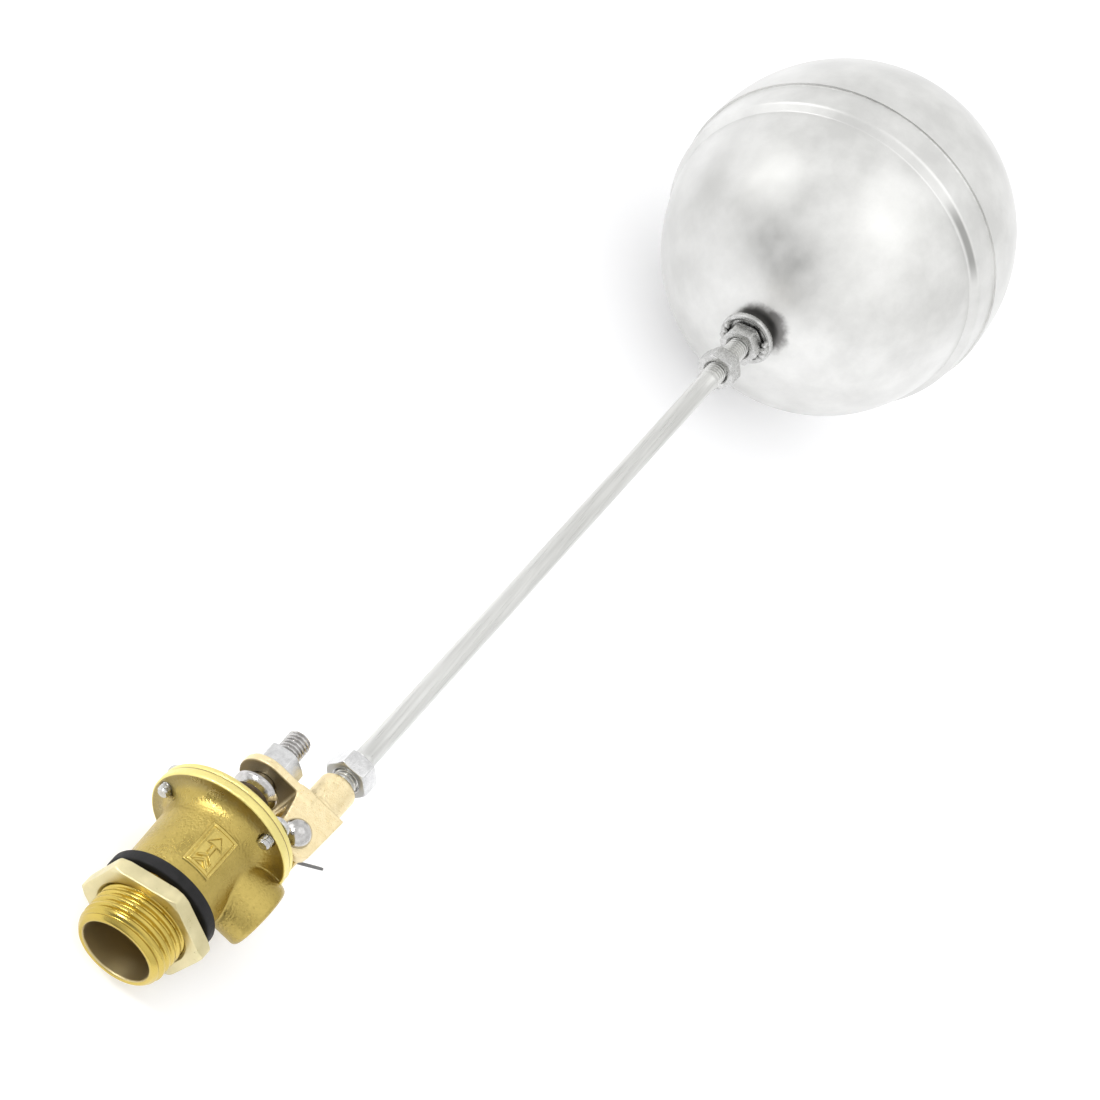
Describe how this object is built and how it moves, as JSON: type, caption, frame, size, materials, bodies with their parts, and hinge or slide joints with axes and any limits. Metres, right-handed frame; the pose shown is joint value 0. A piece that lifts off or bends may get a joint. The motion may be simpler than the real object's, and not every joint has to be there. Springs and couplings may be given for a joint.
{
  "type": "float valve",
  "caption": "Tank float valve: threaded brass inlet, side outlet, pilot-operated piston, forked lever, rod and a steel ball float.",
  "frame": {"origin": "centre of the inlet mouth, on the axis of the inlet thread", "axes": "+X along the inlet thread from its mouth towards the float; the side outlet points along -Y; +Z along the lever pivot towards its domed head"},
  "size_m": [0.375, 0.1006, 0.1007],
  "materials": {
    "cast_brass": "satin sand-cast brass",
    "bright_brass": "bright machined brass",
    "pale_brass": "pale satin brass",
    "black_rubber": "matt moulded rubber",
    "brown_rubber": "matt moulded rubber",
    "zinc_steel": "bright zinc plate",
    "screw_steel": "satin stainless steel",
    "polished_steel": "polished stainless steel",
    "drawn_steel": "drawn stainless bar",
    "float_steel": "satin spun stainless sheet"
  },
  "bodies": {
    "valve": {"valve_body": "cast_brass", "tank_washer": "black_rubber", "body_gasket": "black_rubber", "cover": "cast_brass", "cover_screws": "screw_steel", "pilot_nozzle": "bright_brass", "pivot_pin": "polished_steel", "split_pin": "screw_steel"},
    "back_nut": {"back_nut": "pale_brass"},
    "piston": {"main_piston": "bright_brass", "seat_rubber": "black_rubber", "bleed_screw": "bright_brass", "piston_cup_seal": "black_rubber", "piston_nut": "bright_brass"},
    "lever": {"lever": "pale_brass", "pad_bolt_nut": "zinc_steel", "float_rod": "drawn_steel", "rod_nut_lever": "zinc_steel", "rod_nut_float": "screw_steel", "float_nut": "screw_steel", "float_flange": "screw_steel", "float_front_shell": "float_steel", "float_rear_shell": "float_steel", "float_weld_seam": "float_steel"},
    "pad": {"valve_pad": "brown_rubber"},
    "bolt": {"pad_bolt": "polished_steel"}
  },
  "joints": [
    {"name": "lever_pivot", "type": "hinge", "parent": "valve", "child": "lever", "pos_m": [0.0464, -0.012, 0], "axis": [0, 0, 1], "range_deg": [-50, 0]},
    {"name": "piston_lift", "type": "slide", "parent": "valve", "child": "piston", "axis": [1, 0, 0], "range_m": [0, 0.002]},
    {"name": "back_nut_travel", "type": "slide", "parent": "valve", "child": "back_nut", "axis": [1, 0, 0], "range_m": [-0.008, 0.0013]},
    {"name": "pad_advance", "type": "slide", "parent": "lever", "child": "pad", "axis": [1, 0, 0], "range_m": [0, 0.0015]},
    {"name": "pad_bolt_turn", "type": "hinge", "parent": "pad", "child": "bolt", "pos_m": [0.055, 0, 0], "axis": [1, 0, 0], "range_deg": [0, 540]}
  ],
  "couplings": [
    {"joint": "pad_bolt_turn", "follows": "pad_advance", "rad_per_m": 6283.2}
  ]
}
